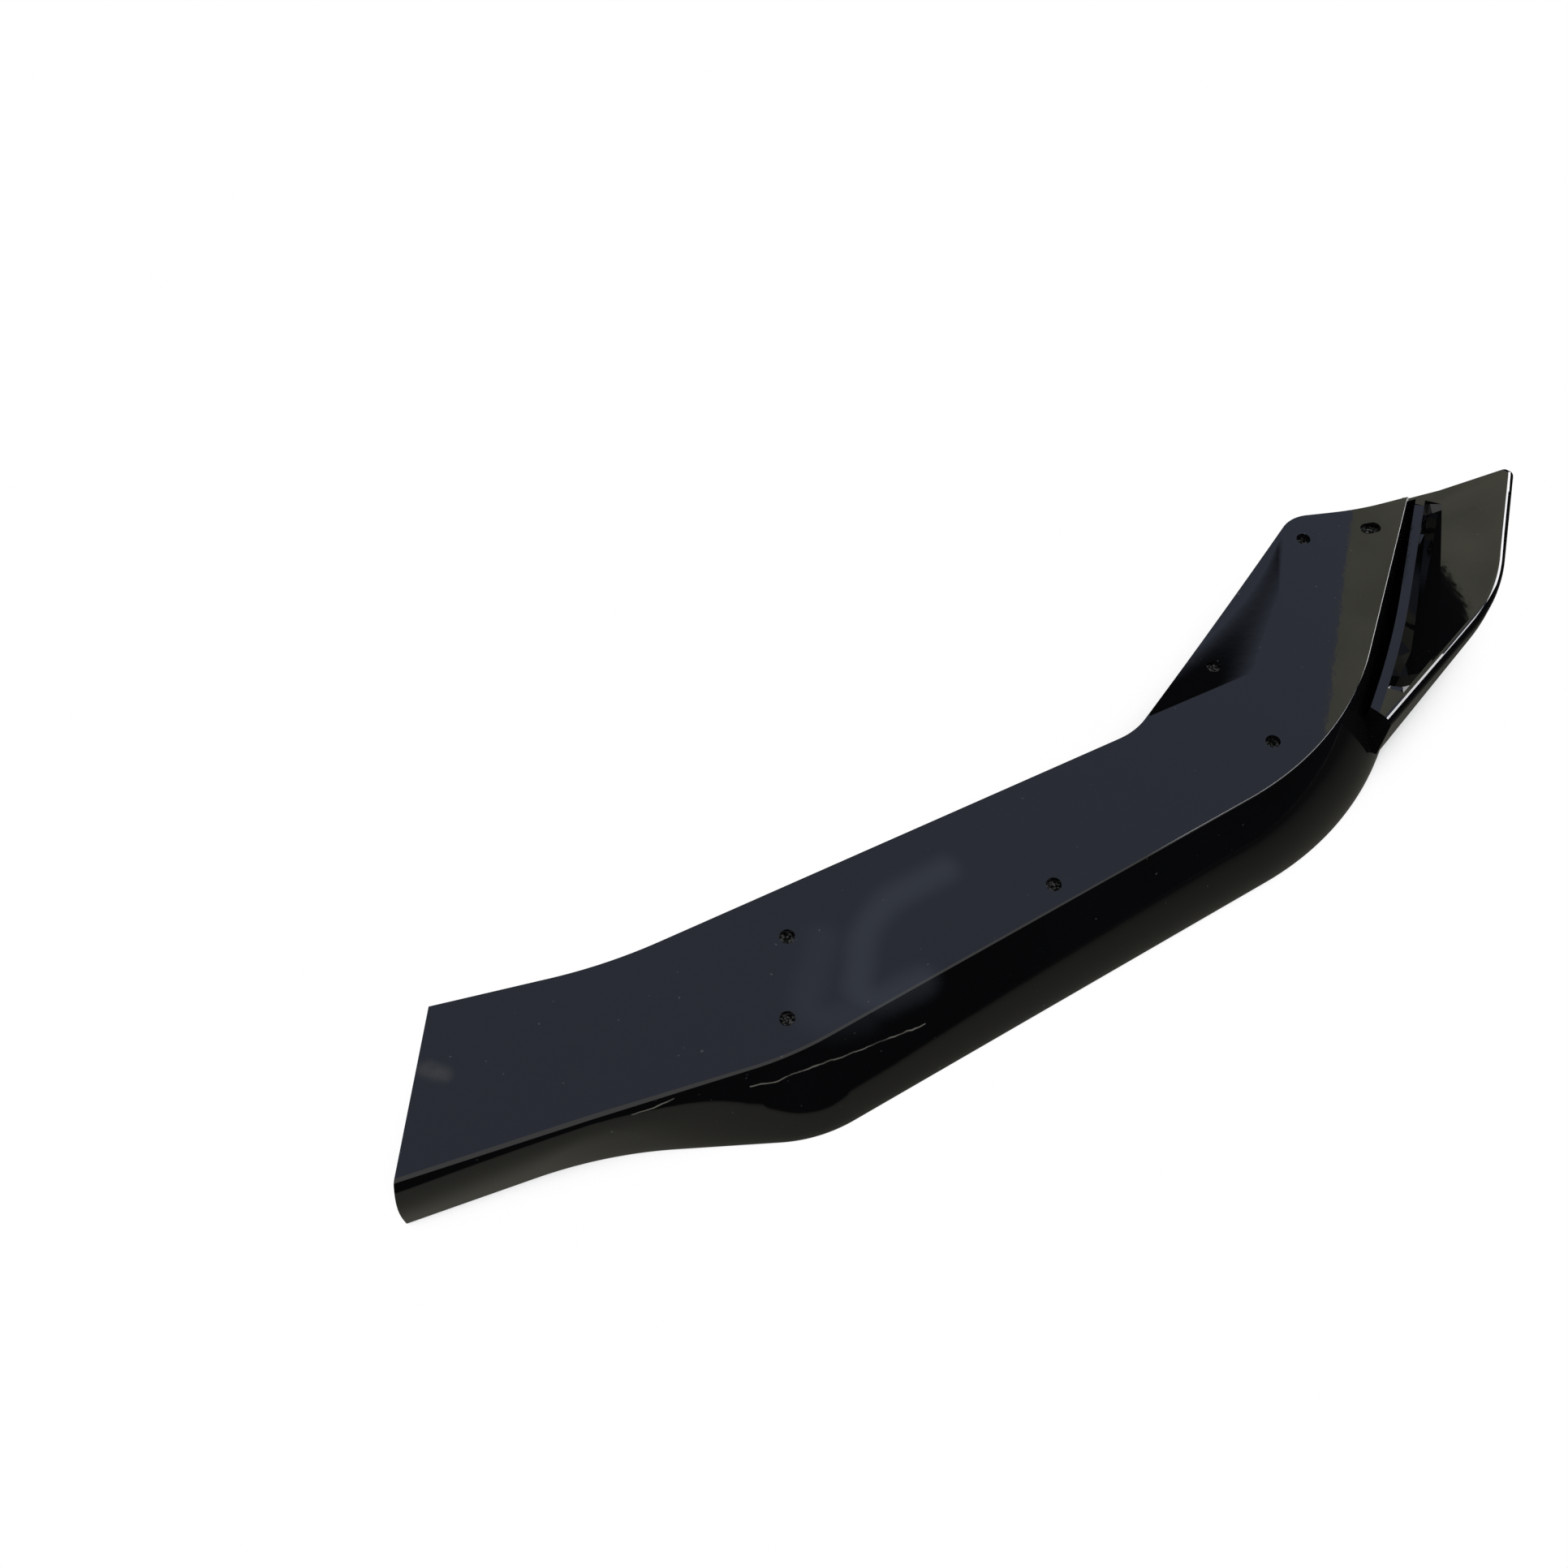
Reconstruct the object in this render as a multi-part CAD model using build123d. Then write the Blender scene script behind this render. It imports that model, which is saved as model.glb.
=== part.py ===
from build123d import *

import math
import os

# Corner section of a front bumper lip: one moulded shell, drawn as it sits on the car.
# X runs outboard, Y runs rearward and Z runs up from the top of the plate, which lies under the bumper.
# The finished shell is then laid on its lower edge, on which it rests.
# Lengths are in millimetres, and headings are in degrees from X towards Y.

# Shell
WALL = 3.0
INNER_HEIGHT = 28.0
REAR_HEIGHT = 50.0

# Crease: the plate's front edge, four straight runs from the inner end round to the wheel arch
INNER_RUN = 83.5
NECK_RUN = 87.6
MAIN_RUN = 300.0
SIDE_RUN = 163.0
INNER_SWEEP = 18.2
NECK_SWEEP = 17.2
MAIN_SWEEP = 30.0
SIDE_SWEEP = 68.4
CREASE_NECK_RADIUS = 300.0
CREASE_SHOULDER_RADIUS = 168.0
CREASE_CORNER_RADIUS = 163.0

# Lip: how far the lower edge stands forward of the crease, and how steeply the face leaves the crease
INNER_REACH = 8.8
NECK_REACH = 5.0
SHOULDER_REACH = 26.5
CORNER_REACH = 23.0
REAR_REACH = 26.0
FACE_ANGLE = 45.0
SIDE_FACE_ANGLE = 58.0
LOWER_NECK_RADIUS = 214.0
LOWER_SHOULDER_RADIUS = 72.0
LOWER_CORNER_RADIUS = 179.0

# Plate: distance and heading of each back corner from the crease corner that it faces
INNER_WIDTH = 77.5
INNER_CUT_ANGLE = 86.4
NECK_WIDTH = 70.0
NECK_CUT_ANGLE = 87.9
CORNER_WIDTH = 97.0
CORNER_CUT_ANGLE = 174.0
REAR_WIDTH = 63.0
REAR_CUT_ANGLE = 190.3
REAR_EDGE_SWEEP = 16.0
REAR_EDGE_BREAK = 28.0
REAR_EDGE_RADIUS = 150.0
BACK_NECK_RADIUS = 240.0
BACK_CORNER_RADIUS = 36.0
REAR_CORNER_RADIUS = 18.0

# Dished corner of the plate, between the two rear holes
DISH_DEPTH = 1.9
DISH_START = 11.0
DISH_LOW_POINT = 85.0
DISH_END = 158.0
DISH_APEX_ALONG = 77.0
DISH_APEX_IN = 38.0

# Screw holes and the slot beside the wheel arch
HOLE_DIAMETER = 7.0
NECK_HOLE_FRONT = 17.0
NECK_HOLE_BACK = 56.0
NECK_HOLE_INBOARD = 2.0
MAIN_HOLE_ALONG = 141.0
MAIN_HOLE_IN = 10.0
CORNER_HOLE_BACK = 28.0
CORNER_HOLE_IN = 19.0
INNER_EDGE_MARGIN = 12.0
INNER_EDGE_HOLE_FRONT = 55.0
INNER_EDGE_HOLE_REAR = 151.0
SLOT_WIDTH = 7.0
SLOT_LENGTH = 10.5
SLOT_AHEAD = 27.5
SLOT_IN = 14.0
SLOT_HEADING = 10.0

# Winglet: distances ahead of the rear end, and outboard of the side run of the crease
BLADE_DROP = 1.5
GROOVE_REAR = 4.3
GROOVE_MIDDLE = 9.5
GROOVE_MIDDLE_AHEAD = 94.0
GROOVE_BEND_RADIUS = 150.0
GROOVE_END_WALL = 2.0
GROOVE_END_SETBACK = 0.5
GROOVE_END_OVERLAP = 2.0
NOSE_AHEAD = 137.0
NOSE_GROOVE = 6.6
BOW_AHEAD = 142.5
BOW_SPAN = 17.8
SHOULDER_AHEAD = 47.0
SHOULDER_SPAN = 55.0
SHOULDER_RADIUS = 110.0
REAR_BEND_SPAN = 14.5
TIP_BEHIND = 38.5
TIP_SPAN = 49.2
TIP_CHAMFER_BEHIND = 39.5
TIP_CHAMFER_SPAN = 46.0
TIP_RADIUS = 3.0
ROOT_DEPTH = 38.5
RIM_DEPTH = 10.0
RIM_ROUND = 4.5

# Ridge beside the groove, and the V-shaped recess between it and the blade
RIDGE_WIDTH = 4.6
RECESS_DEPTH = 6.0
RECESS_REAR_BEHIND = 2.0
RECESS_REAR_WIDTH = 8.5
RECESS_SHOULDER_AHEAD = 93.0
RECESS_SHOULDER_SPAN = 31.0
RECESS_FRONT_AHEAD = 123.5
RECESS_FRONT_WIDTH = 7.5
VALLEY_REAR_GAP = 5.0
VALLEY_FRONT_GAP = 7.0
RECESS_REAR_SKEW = 2.5

# Hollow under the blade: spare wall at the ridge, wall straight below the recess, and how far the corners
# of the hollow step back for each millimetre that its rim lies inside the outline
RIDGE_SPARE = 1.0
RECESS_FLOOR = 4.5
SHOULDER_STEP = 0.4
BOW_STEP = 2.0
BOW_SPAN_STEP = 0.2

# Spare length of the cutting bodies past the open ends
OVERRUN = 40.0


def heading(angle):
    """Unit vector in plan."""
    return Vector(math.cos(math.radians(angle)), math.sin(math.radians(angle)))


def offset_from(start, angle, along, left=0.0):
    """Point so far along a heading from a start, and so far to the left of it."""
    return start + heading(angle) * along + heading(angle + 90) * left


SWEEPS = [INNER_SWEEP, NECK_SWEEP, MAIN_SWEEP, SIDE_SWEEP]
CREASE = [Vector(0, 0)]
for run, sweep in zip([INNER_RUN, NECK_RUN, MAIN_RUN, SIDE_RUN], SWEEPS):
    CREASE.append(offset_from(CREASE[-1], sweep, run))
SHOULDER, CORNER, REAR_END = CREASE[2], CREASE[3], CREASE[4]

# Back corners of the plate, from the wheel arch to the inner end
REAR_BREAK = offset_from(REAR_END, REAR_EDGE_SWEEP, -REAR_EDGE_BREAK)
REAR_CORNER = offset_from(REAR_END, REAR_CUT_ANGLE, REAR_WIDTH)
INNER_CORNER = offset_from(CORNER, CORNER_CUT_ANGLE, CORNER_WIDTH)
NECK_BACK = offset_from(CREASE[1], NECK_CUT_ANGLE, NECK_WIDTH)
INNER_BACK = offset_from(CREASE[0], INNER_CUT_ANGLE, INNER_WIDTH)
BACK = [REAR_BREAK, REAR_CORNER, INNER_CORNER, NECK_BACK, INNER_BACK]
BACK_RADII = [REAR_EDGE_RADIUS, REAR_CORNER_RADIUS, BACK_CORNER_RADIUS, BACK_NECK_RADIUS, 0.0]

# The lower edge lies in one plane, which meets the plate's plane at the hinge line
DROP_SLOPE = (REAR_HEIGHT - INNER_HEIGHT) / (REAR_END.X - CREASE[0].X)
HINGE_X = CREASE[0].X - INNER_HEIGHT / DROP_SLOPE
LAY_ANGLE = math.degrees(math.atan(DROP_SLOPE))
FACE_STEPS = [0.0, 0.1, 0.25, 0.5, 1.0, 1.2]


def at_drop(fraction):
    """Place of the plane that lies this fraction of the way from the plate to the lower edge."""
    tilt = math.degrees(math.atan(fraction * DROP_SLOPE))
    return Pos(HINGE_X, 0, 0) * Rot(0, tilt, 0) * Pos(-HINGE_X, 0, 0)


def outward(station):
    """Mitred outward direction at a crease corner, and along the cut at either end."""
    if station == 0:
        return heading(INNER_CUT_ANGLE + 180)
    if station == len(CREASE) - 1:
        return heading(REAR_EDGE_SWEEP)
    before, after = SWEEPS[station - 1], SWEEPS[station]
    return heading((before + after) / 2 - 90) / math.cos(math.radians((after - before) / 2))


def front_corner(station, fraction, inset):
    """Corner of the lip's face at this drop: it leaves the crease at its face angle and ends upright."""
    reach = [INNER_REACH, NECK_REACH, SHOULDER_REACH, CORNER_REACH, REAR_REACH][station]
    angle = SIDE_FACE_ANGLE if station == len(CREASE) - 1 else FACE_ANGLE
    height = DROP_SLOPE * (CREASE[station].X - HINGE_X)
    power = max(1.05, height / (reach * math.tan(math.radians(angle))))
    bulge = 1 - max(0.0, 1 - fraction) ** power
    return CREASE[station] + outward(station) * (reach * bulge - inset), bulge


def lip_section(fraction, inset=0.0, overrun=0.0):
    """Plan outline of the lip at this drop, with its open sides drawn past the ends for a cavity."""
    corners = [front_corner(station, fraction, inset) for station in range(len(CREASE))]
    front = [corner for corner, _ in corners]
    upper = [CREASE_NECK_RADIUS, CREASE_SHOULDER_RADIUS, CREASE_CORNER_RADIUS]
    lower = [LOWER_NECK_RADIUS, LOWER_SHOULDER_RADIUS, LOWER_CORNER_RADIUS]
    radii = [u + (low - u) * bulge for u, low, (_, bulge) in zip(upper, lower, corners[1:-1])]
    front[0] = offset_from(front[0], INNER_SWEEP, -overrun)
    front[-1] = offset_from(front[-1], SIDE_SWEEP, overrun)
    back = [corner + heading(MAIN_SWEEP + 90) * overrun for corner in BACK]
    outline = FilletPolyline(*front, *back, radius=[0.0, *radii, 0.0, *BACK_RADII], close=True)
    return at_drop(fraction) * Pos(0, 0, -inset) * make_face(outline.edges())


def lip_body():
    """Solid between the plate's top, the lip's face and the floor."""
    body = loft([lip_section(step) for step in FACE_STEPS])
    below = Box(4 * MAIN_RUN, 4 * MAIN_RUN, REAR_HEIGHT, align=(Align.CENTER, Align.CENTER, Align.MAX))
    return body - at_drop(1.0) * below


def lip_cavity():
    """Hollow under the plate and behind the face, open at the back, below and at both ends."""
    return loft([lip_section(step, inset=WALL, overrun=OVERRUN) for step in FACE_STEPS])


# Winglet frame: its own x runs outboard from the side run of the crease, and its y runs up
WING_PLANE = Plane(
    origin=REAR_END,
    x_dir=heading(SIDE_SWEEP - 90),
    z_dir=heading(SIDE_SWEEP + 180),
)


def wing_point(ahead, span):
    """Plan point given by its distance ahead of the rear end and outboard of the crease."""
    return offset_from(REAR_END, SIDE_SWEEP, -ahead, -span)


def wing_profile(*corners):
    """Profile in span and height, drawn out along the whole winglet."""
    face = make_face(Polyline(*corners, close=True).edges())
    return extrude(WING_PLANE * face, SIDE_RUN + OVERRUN) + extrude(WING_PLANE * face, -2 * OVERRUN)


def groove_span(ahead):
    """Distance from the crease to the ridge's groove side, by straight lines through its three corners."""
    if ahead < GROOVE_MIDDLE_AHEAD:
        return GROOVE_REAR + (GROOVE_MIDDLE - GROOVE_REAR) * ahead / GROOVE_MIDDLE_AHEAD
    share = (ahead - GROOVE_MIDDLE_AHEAD) / (NOSE_AHEAD - GROOVE_MIDDLE_AHEAD)
    return GROOVE_MIDDLE + (NOSE_GROOVE - GROOVE_MIDDLE) * share


def rear_edge_point(span, ahead=0.0):
    """Plan point at this span, so far ahead of the straight rear edge."""
    rear_slope = math.tan(math.radians(SIDE_SWEEP - REAR_EDGE_SWEEP))
    return wing_point(ahead - span / rear_slope, span)


def wing_plan(groove_inset=0.0, rim_inset=0.0, rear_overrun=0.0):
    """Plan outline of the winglet: ridge side, bow, leading edge, tip chord and rear edge."""
    ridge_rear = rear_edge_point(GROOVE_REAR + groove_inset, -rear_overrun)
    rear_bend = rear_edge_point(REAR_BEND_SPAN, -rear_overrun)
    tip_rear = wing_point(-TIP_CHAMFER_BEHIND - rear_overrun, TIP_CHAMFER_SPAN - rim_inset)
    tip = wing_point(-TIP_BEHIND - rear_overrun, TIP_SPAN - rim_inset)
    shoulder = wing_point(SHOULDER_AHEAD - rim_inset * SHOULDER_STEP, SHOULDER_SPAN - rim_inset)
    bow = wing_point(BOW_AHEAD - rim_inset * BOW_STEP, BOW_SPAN - rim_inset * BOW_SPAN_STEP)
    nose = wing_point(NOSE_AHEAD - rim_inset, NOSE_GROOVE + groove_inset)
    middle = wing_point(GROOVE_MIDDLE_AHEAD, GROOVE_MIDDLE + groove_inset)
    corners = [ridge_rear, rear_bend, tip_rear, tip, shoulder, bow, nose, middle]
    radii = [0.0, 0.0, 0.0, TIP_RADIUS, SHOULDER_RADIUS, 0.0, 0.0, GROOVE_BEND_RADIUS]
    return make_face(FilletPolyline(*corners, radius=radii, close=True).edges())


def wing_body():
    """Solid winglet: flat top, rounded rim, and a sloping underside that is deepest at the bow."""
    body = extrude(Pos(0, 0, -BLADE_DROP) * wing_plan(), -ROOT_DEPTH)
    far = SHOULDER_SPAN + OVERRUN
    slope = (ROOT_DEPTH - RIM_DEPTH) / SHOULDER_SPAN
    below = wing_profile(
        (-OVERRUN, -ROOT_DEPTH - slope * OVERRUN),
        (far, -ROOT_DEPTH + slope * far),
        (far, -3 * ROOT_DEPTH),
        (-OVERRUN, -3 * ROOT_DEPTH),
    )
    top = body.faces().sort_by(Axis.Z)[-1]
    chord_middle = (wing_point(SHOULDER_AHEAD, SHOULDER_SPAN) + wing_point(-TIP_BEHIND, TIP_SPAN)) / 2
    chord = top.edges().sort_by_distance(chord_middle - Vector(0, 0, BLADE_DROP))[0]
    return fillet(chord, RIM_ROUND) - below


def groove_end():
    """Thin wall that closes the groove near the rear edge, and reaches into the lip and the ridge."""
    inner, outer = -GROOVE_END_OVERLAP, GROOVE_REAR + GROOVE_END_OVERLAP
    front = GROOVE_END_SETBACK + GROOVE_END_WALL
    corners = [
        rear_edge_point(inner, GROOVE_END_SETBACK),
        rear_edge_point(outer, GROOVE_END_SETBACK),
        rear_edge_point(outer, front),
        rear_edge_point(inner, front),
    ]
    plan = make_face(Polyline(*corners, close=True).edges())
    return extrude(Pos(0, 0, -BLADE_DROP) * plan, -ROOT_DEPTH / 2)


def wing_recess():
    """V-shaped recess between the ridge and the blade, with a valley that closes at both ends."""
    def ridge_side(ahead, gap=0.0):
        return wing_point(ahead, groove_span(ahead) + RIDGE_WIDTH + gap)

    def sunk(point):
        return point - Vector(0, 0, BLADE_DROP + RECESS_DEPTH)

    rear = -RECESS_REAR_BEHIND
    quarter = (GROOVE_MIDDLE_AHEAD + rear) / 2
    front = RECESS_FRONT_AHEAD
    outline = [
        ridge_side(rear),
        ridge_side(rear - RECESS_REAR_SKEW, RECESS_REAR_WIDTH),
        wing_point(RECESS_SHOULDER_AHEAD, RECESS_SHOULDER_SPAN),
        ridge_side(front, RECESS_FRONT_WIDTH),
        ridge_side(front),
        ridge_side(GROOVE_MIDDLE_AHEAD),
        ridge_side(quarter),
    ]
    outline = [point - Vector(0, 0, BLADE_DROP) for point in outline]
    valley_rear = sunk(ridge_side(rear + VALLEY_REAR_GAP, RECESS_REAR_WIDTH / 2))
    valley_front = sunk(ridge_side(front - 2 * VALLEY_FRONT_GAP, VALLEY_FRONT_GAP))
    triangles = [
        (outline[0], outline[1], valley_rear),
        (outline[1], outline[2], valley_rear),
        (outline[2], valley_front, valley_rear),
        (outline[2], outline[3], valley_front),
        (outline[3], outline[4], valley_front),
        (outline[4], outline[5], valley_front),
        (outline[5], outline[6], valley_front),
        (outline[6], valley_rear, valley_front),
        (outline[6], outline[0], valley_rear),
    ]
    faces = [Face(Wire.make_polygon(list(corners))) for corners in triangles]
    lid = make_face(Polyline(*outline, close=True).edges())
    return Solid(Shell([*faces, lid])) + extrude(lid, OVERRUN, dir=(0, 0, 1))


def wing_cavity():
    """Hollow under the blade, a wall below its top and outside its recess, open below and at the rear."""
    plan = wing_plan(RIDGE_WIDTH + RIDGE_SPARE, WALL, OVERRUN)
    hollow = extrude(Pos(0, 0, -BLADE_DROP - WALL) * plan, -3 * ROOT_DEPTH)
    return hollow - Pos(0, 0, -RECESS_FLOOR) * wing_recess()


def plate_dish():
    """Shallow dished triangle along the plate's inner edge, with a crisp fold at the front."""
    edge = REAR_CORNER - INNER_CORNER
    angle = math.degrees(math.atan2(edge.Y, edge.X))
    start = offset_from(INNER_CORNER, angle, DISH_START, 1)
    end = offset_from(INNER_CORNER, angle, DISH_END, 1)
    apex = offset_from(INNER_CORNER, angle, DISH_APEX_ALONG, -DISH_APEX_IN)
    low = offset_from(INNER_CORNER, angle, DISH_LOW_POINT, 1) - Vector(0, 0, DISH_DEPTH)
    high = low + Vector(0, 0, 2 * DISH_DEPTH)
    faces = []
    for tip in (low, high):
        for first, second in ((start, apex), (apex, end), (end, start)):
            faces.append(Face(Wire.make_polygon([first, second, tip])))
    return Solid(Shell(faces))


def hole_places():
    """Plan points of the six round screw holes, from the inner end to the wheel arch."""
    edge = REAR_CORNER - INNER_CORNER
    angle = math.degrees(math.atan2(edge.Y, edge.X))
    return [
        offset_from(SHOULDER, 90, NECK_HOLE_FRONT, NECK_HOLE_INBOARD),
        offset_from(SHOULDER, 90, NECK_HOLE_BACK, NECK_HOLE_INBOARD),
        offset_from(SHOULDER, MAIN_SWEEP, MAIN_HOLE_ALONG, MAIN_HOLE_IN),
        offset_from(CORNER, MAIN_SWEEP, -CORNER_HOLE_BACK, CORNER_HOLE_IN),
        offset_from(INNER_CORNER, angle, INNER_EDGE_HOLE_FRONT, -INNER_EDGE_MARGIN),
        offset_from(INNER_CORNER, angle, INNER_EDGE_HOLE_REAR, -INNER_EDGE_MARGIN),
    ]


def screw_holes():
    """Cutters for the round holes and the slot, square to the plate."""
    cutters = [Pos(*place) * Cylinder(HOLE_DIAMETER / 2, 4 * WALL) for place in hole_places()]
    slot = SlotOverall(SLOT_LENGTH, SLOT_WIDTH, rotation=SLOT_HEADING)
    slot_place = wing_point(SLOT_AHEAD, -SLOT_IN)
    cutters.append(extrude(Pos(slot_place.X, slot_place.Y, 2 * WALL) * slot, -4 * WALL))
    return cutters


def corner_lip():
    """The whole shell as it sits on the car."""
    lip = lip_body()
    dish = plate_dish()
    lip_hollow = lip_cavity() - Pos(0, 0, -WALL) * dish
    wing_hollow = wing_cavity() - lip
    shell = lip + wing_body() + groove_end() - lip_hollow - wing_hollow - wing_recess() - dish
    for cutter in screw_holes():
        shell -= cutter
    return shell


def laid_down(shell):
    """The shell on its lower edge, with the origin below the middle of its box."""
    laid = Rot(0, -LAY_ANGLE, 0) * shell
    box = laid.bounding_box()
    return Pos(-box.center().X, -box.center().Y, -box.min.Z) * laid


if __name__ == "__main__":
    os.makedirs("parts", exist_ok=True)
    lip = laid_down(corner_lip())
    export_step(lip, "parts/corner_lip.step")
    print(len(lip.solids()), "solid, volume", round(lip.volume), "mm3, box", lip.bounding_box())
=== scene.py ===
import logging
import math
from collections.abc import Callable, Sequence
from dataclasses import dataclass, field
from enum import Enum

import bmesh
import bpy
from mathutils import Matrix, Vector


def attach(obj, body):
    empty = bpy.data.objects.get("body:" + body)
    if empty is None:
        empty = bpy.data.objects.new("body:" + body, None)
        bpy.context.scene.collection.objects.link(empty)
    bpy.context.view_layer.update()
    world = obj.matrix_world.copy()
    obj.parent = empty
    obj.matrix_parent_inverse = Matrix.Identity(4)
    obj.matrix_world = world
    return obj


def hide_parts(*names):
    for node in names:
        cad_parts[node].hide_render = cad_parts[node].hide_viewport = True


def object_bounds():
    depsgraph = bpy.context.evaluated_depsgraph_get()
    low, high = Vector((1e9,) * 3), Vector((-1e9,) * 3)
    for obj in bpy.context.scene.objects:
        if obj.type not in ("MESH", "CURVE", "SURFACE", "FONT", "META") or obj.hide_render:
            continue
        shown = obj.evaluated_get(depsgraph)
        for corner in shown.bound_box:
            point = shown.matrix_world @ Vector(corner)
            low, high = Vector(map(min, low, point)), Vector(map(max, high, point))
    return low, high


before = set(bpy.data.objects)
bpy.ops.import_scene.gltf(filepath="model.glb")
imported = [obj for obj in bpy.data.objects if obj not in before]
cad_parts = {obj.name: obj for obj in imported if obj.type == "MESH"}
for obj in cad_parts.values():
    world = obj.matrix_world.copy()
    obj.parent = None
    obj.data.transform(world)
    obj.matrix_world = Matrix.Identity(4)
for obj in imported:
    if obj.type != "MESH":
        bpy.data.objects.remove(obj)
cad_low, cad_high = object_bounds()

LOG = logging.getLogger("corner_lip")
MM = 0.001
Triple = tuple[float, float, float]
Pair = tuple[float, float]
Numbers = tuple[float, ...]
Places = tuple[Vector, ...]
Body = bpy.types.Object
Material = bpy.types.Material
Form = bmesh.types.BMesh
Edges = list[bmesh.types.BMEdge]


def mm(*lengths: float) -> Numbers:
    """Lengths given in millimetres."""
    return tuple(length * MM for length in lengths)


def heading(angle: float) -> Vector:
    """Unit vector in plan for a heading in degrees from X towards Y."""
    return Vector((math.cos(math.radians(angle)), math.sin(math.radians(angle)), 0.0))


def offset_from(start: Vector, angle: float, along: float, left: float = 0.0) -> Vector:
    """Point so far along a heading from a start, and so far to the left of it."""
    return start + heading(angle) * along + heading(angle + 90) * left


def up(height: float) -> Vector:
    """Vector that points straight up by a height."""
    return Vector((0.0, 0.0, height))


def mix(first: float, second: float, share: float) -> float:
    """Number so far on the way from the first to the second."""
    return first + (second - first) * share


def steps_to(first: float, second: float, count: int) -> list[float]:
    """Numbers from the first to the second in so many even steps."""
    return [first, *[mix(first, second, step / count) for step in range(1, count + 1)]]


@dataclass
class PlanPoint:
    """Point of a rounded line, with its place counted in corners of that line."""

    place: Vector
    corner: float


def rounded_line(
    corners: Sequence[Vector], radii: Sequence[float], arc_steps: int, run_steps: int
) -> list[PlanPoint]:
    """Draws an open line with rounded inner corners.

    Args:
        corners: The line's corners, both ends among them.
        radii: One plan radius for each inner corner.
        arc_steps: How many steps each arc takes.
        run_steps: How many steps each straight run takes.

    Returns:
        The line's points in order.
    """
    start, start_corner = corners[0], 0.0
    points = [PlanPoint(start, start_corner)]
    for index in range(1, len(corners)):
        run = corners[index] - corners[index - 1]
        ahead = run.normalized()
        tangent, turn = 0.0, 0.0
        if index < len(corners) - 1:
            after = (corners[index + 1] - corners[index]).normalized()
            turn = math.atan2(ahead.x * after.y - ahead.y * after.x, ahead.dot(after))
            tangent = radii[index - 1] * math.tan(abs(turn) / 2)
        end, end_corner = corners[index] - ahead * tangent, index - tangent / run.length
        for step in range(1, run_steps + 1):
            share = step / run_steps
            points.append(PlanPoint(start.lerp(end, share), mix(start_corner, end_corner, share)))
        start, start_corner = end, end_corner
        if tangent:
            side = Vector((-ahead.y, ahead.x, 0.0)) * math.copysign(1.0, turn)
            next_corner = index + tangent / (corners[index + 1] - corners[index]).length
            for step in range(1, arc_steps + 1):
                bend = abs(turn) * step / arc_steps
                sweep = ahead * math.sin(bend) + side * (1 - math.cos(bend))
                corner = mix(end_corner, next_corner, step / arc_steps)
                points.append(PlanPoint(end + sweep * radii[index - 1], corner))
            start, start_corner = points[-1].place, points[-1].corner
    return points


def chain(form: Form, points: Sequence[Vector], closed: bool = False) -> Edges:
    """Adds a line of edges through points, closed if asked, and returns the edges in order."""
    verts = [form.verts.new(point) for point in points]
    pairs = list(zip(verts, verts[1:]))
    if closed:
        pairs.append((verts[-1], verts[0]))
    return [form.edges.new(pair) for pair in pairs]


def loft(form: Form, loops: Sequence[Edges]) -> None:
    """Bridges each loop of edges to the next."""
    for first, second in zip(loops, loops[1:]):
        bmesh.ops.bridge_loops(form, edges=first + second)


def closed_body(name: str, loops: Sequence[Sequence[Vector]]) -> Body:
    """Makes a closed body through a stack of outlines with as many points each, from end to end."""
    form = bmesh.new()
    rings = [chain(form, loop, closed=True) for loop in loops]
    loft(form, rings)
    for ring in (rings[0], rings[-1]):
        bmesh.ops.contextual_create(form, geom=ring)
    bmesh.ops.recalc_face_normals(form, faces=form.faces[:])
    return mesh_object(name, form)


def mesh_object(name: str, form: Form) -> Body:
    """Turns a finished bmesh into an object at the origin."""
    mesh = bpy.data.meshes.new(name)
    form.to_mesh(mesh)
    form.free()
    body = bpy.data.objects.new(name, mesh)
    bpy.context.scene.collection.objects.link(body)
    return body


def settle(body: Body) -> None:
    """Applies a body's modifiers to its mesh."""
    graph = bpy.context.evaluated_depsgraph_get()
    mesh = bpy.data.meshes.new_from_object(body.evaluated_get(graph))
    body.modifiers.clear()
    body.data = mesh


def modify(body: Body, kind: str, settings: dict) -> None:
    """Adds one modifier with its settings to a body and applies it."""
    modifier = body.modifiers.new(kind.lower(), kind)
    for name, setting in settings.items():
        setattr(modifier, name, setting)
    settle(body)


def cut_away(body: Body, tool: Body) -> None:
    """Takes a tool body out of a body, and drops the tool."""
    settings = {"operation": "DIFFERENCE", "solver": "EXACT", "material_mode": "TRANSFER", "object": tool}
    modify(body, "BOOLEAN", settings)
    bpy.data.objects.remove(tool)


def mark(body: Body, name: str) -> None:
    """Gives all of a body's faces a plain material of this name, by which later steps find them."""
    body.data.materials.append(bpy.data.materials.new(name))


def give_wall(body: Body, wall: float, even: bool = True) -> None:
    """Thickens a skin inwards to a wall, which is even also at corners if asked."""
    modify(body, "SOLIDIFY", {"thickness": wall, "offset": -1.0, "use_even_offset": even})


def flatten(body: Body, point: Vector, normal: Vector, reach: float, beyond: Vector) -> None:
    """Moves vertices that lie close to a plane onto it.

    Args:
        body: The body whose rim is made flat.
        point: A point of the plane, past which the rim lies.
        normal: The plane's unit normal.
        reach: How close a vertex lies to the plane.
        beyond: Direction from the point in which the rim lies, or a null vector for the whole plane.
    """
    for vert in body.data.vertices:
        gap = (vert.co - point).dot(normal)
        if abs(gap) < reach and (vert.co - point).dot(beyond) > -reach:
            vert.co -= normal * gap


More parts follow.
